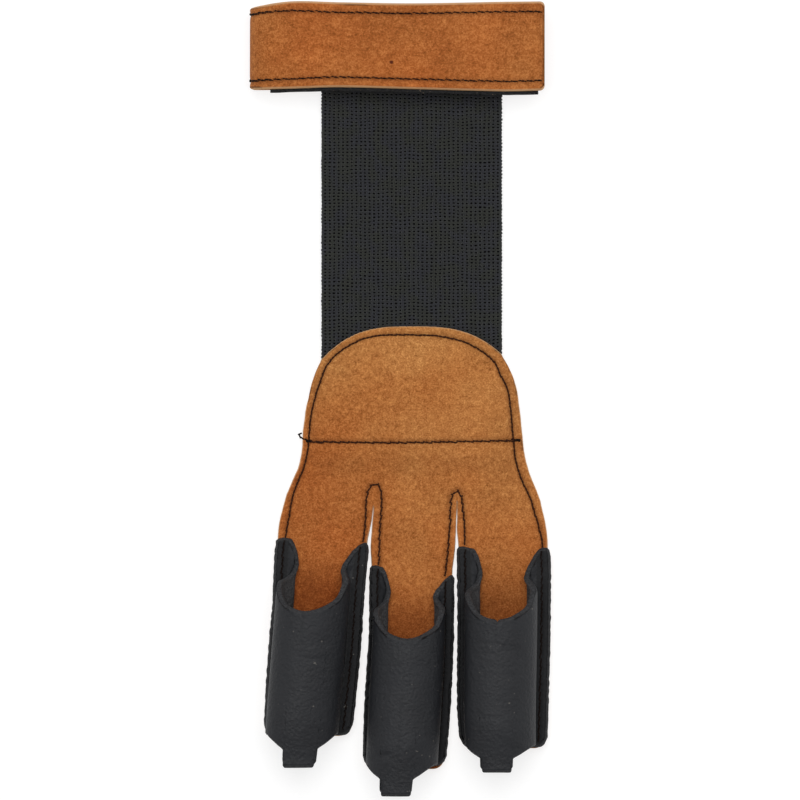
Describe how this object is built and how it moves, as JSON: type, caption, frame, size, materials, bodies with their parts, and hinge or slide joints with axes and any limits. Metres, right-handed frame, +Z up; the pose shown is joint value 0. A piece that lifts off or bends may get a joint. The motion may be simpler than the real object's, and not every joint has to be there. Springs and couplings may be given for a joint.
{
  "type": "archery glove",
  "caption": "Suede archery glove with black leather finger stalls, an elastic back and a wound suede wrist strap, lying flat with its stalls upwards.",
  "frame": {"origin": "on the table under the middle of the glove's bounding box", "axes": "+Y from the fingertips to the wrist strap, +Z up from the table through the stalls, +X across the hand"},
  "size_m": [0.0851, 0.2242, 0.0187],
  "materials": {
    "suede": "tan suede with a short nap",
    "stall_leather": "smooth charcoal leather with a soft sheen",
    "elastic": "ribbed black elastic webbing",
    "hook_tape": "matt black hook-and-loop tape",
    "thread": "waxed black sewing thread"
  },
  "bodies": {
    "root": {"wrist_strap": "suede", "strap_tape": "hook_tape", "elastic_band": "elastic", "hand_front": "suede", "hand_back": "suede", "stall_left": "stall_leather", "stall_middle": "stall_leather", "stall_right": "stall_leather"}
  },
  "joints": []
}
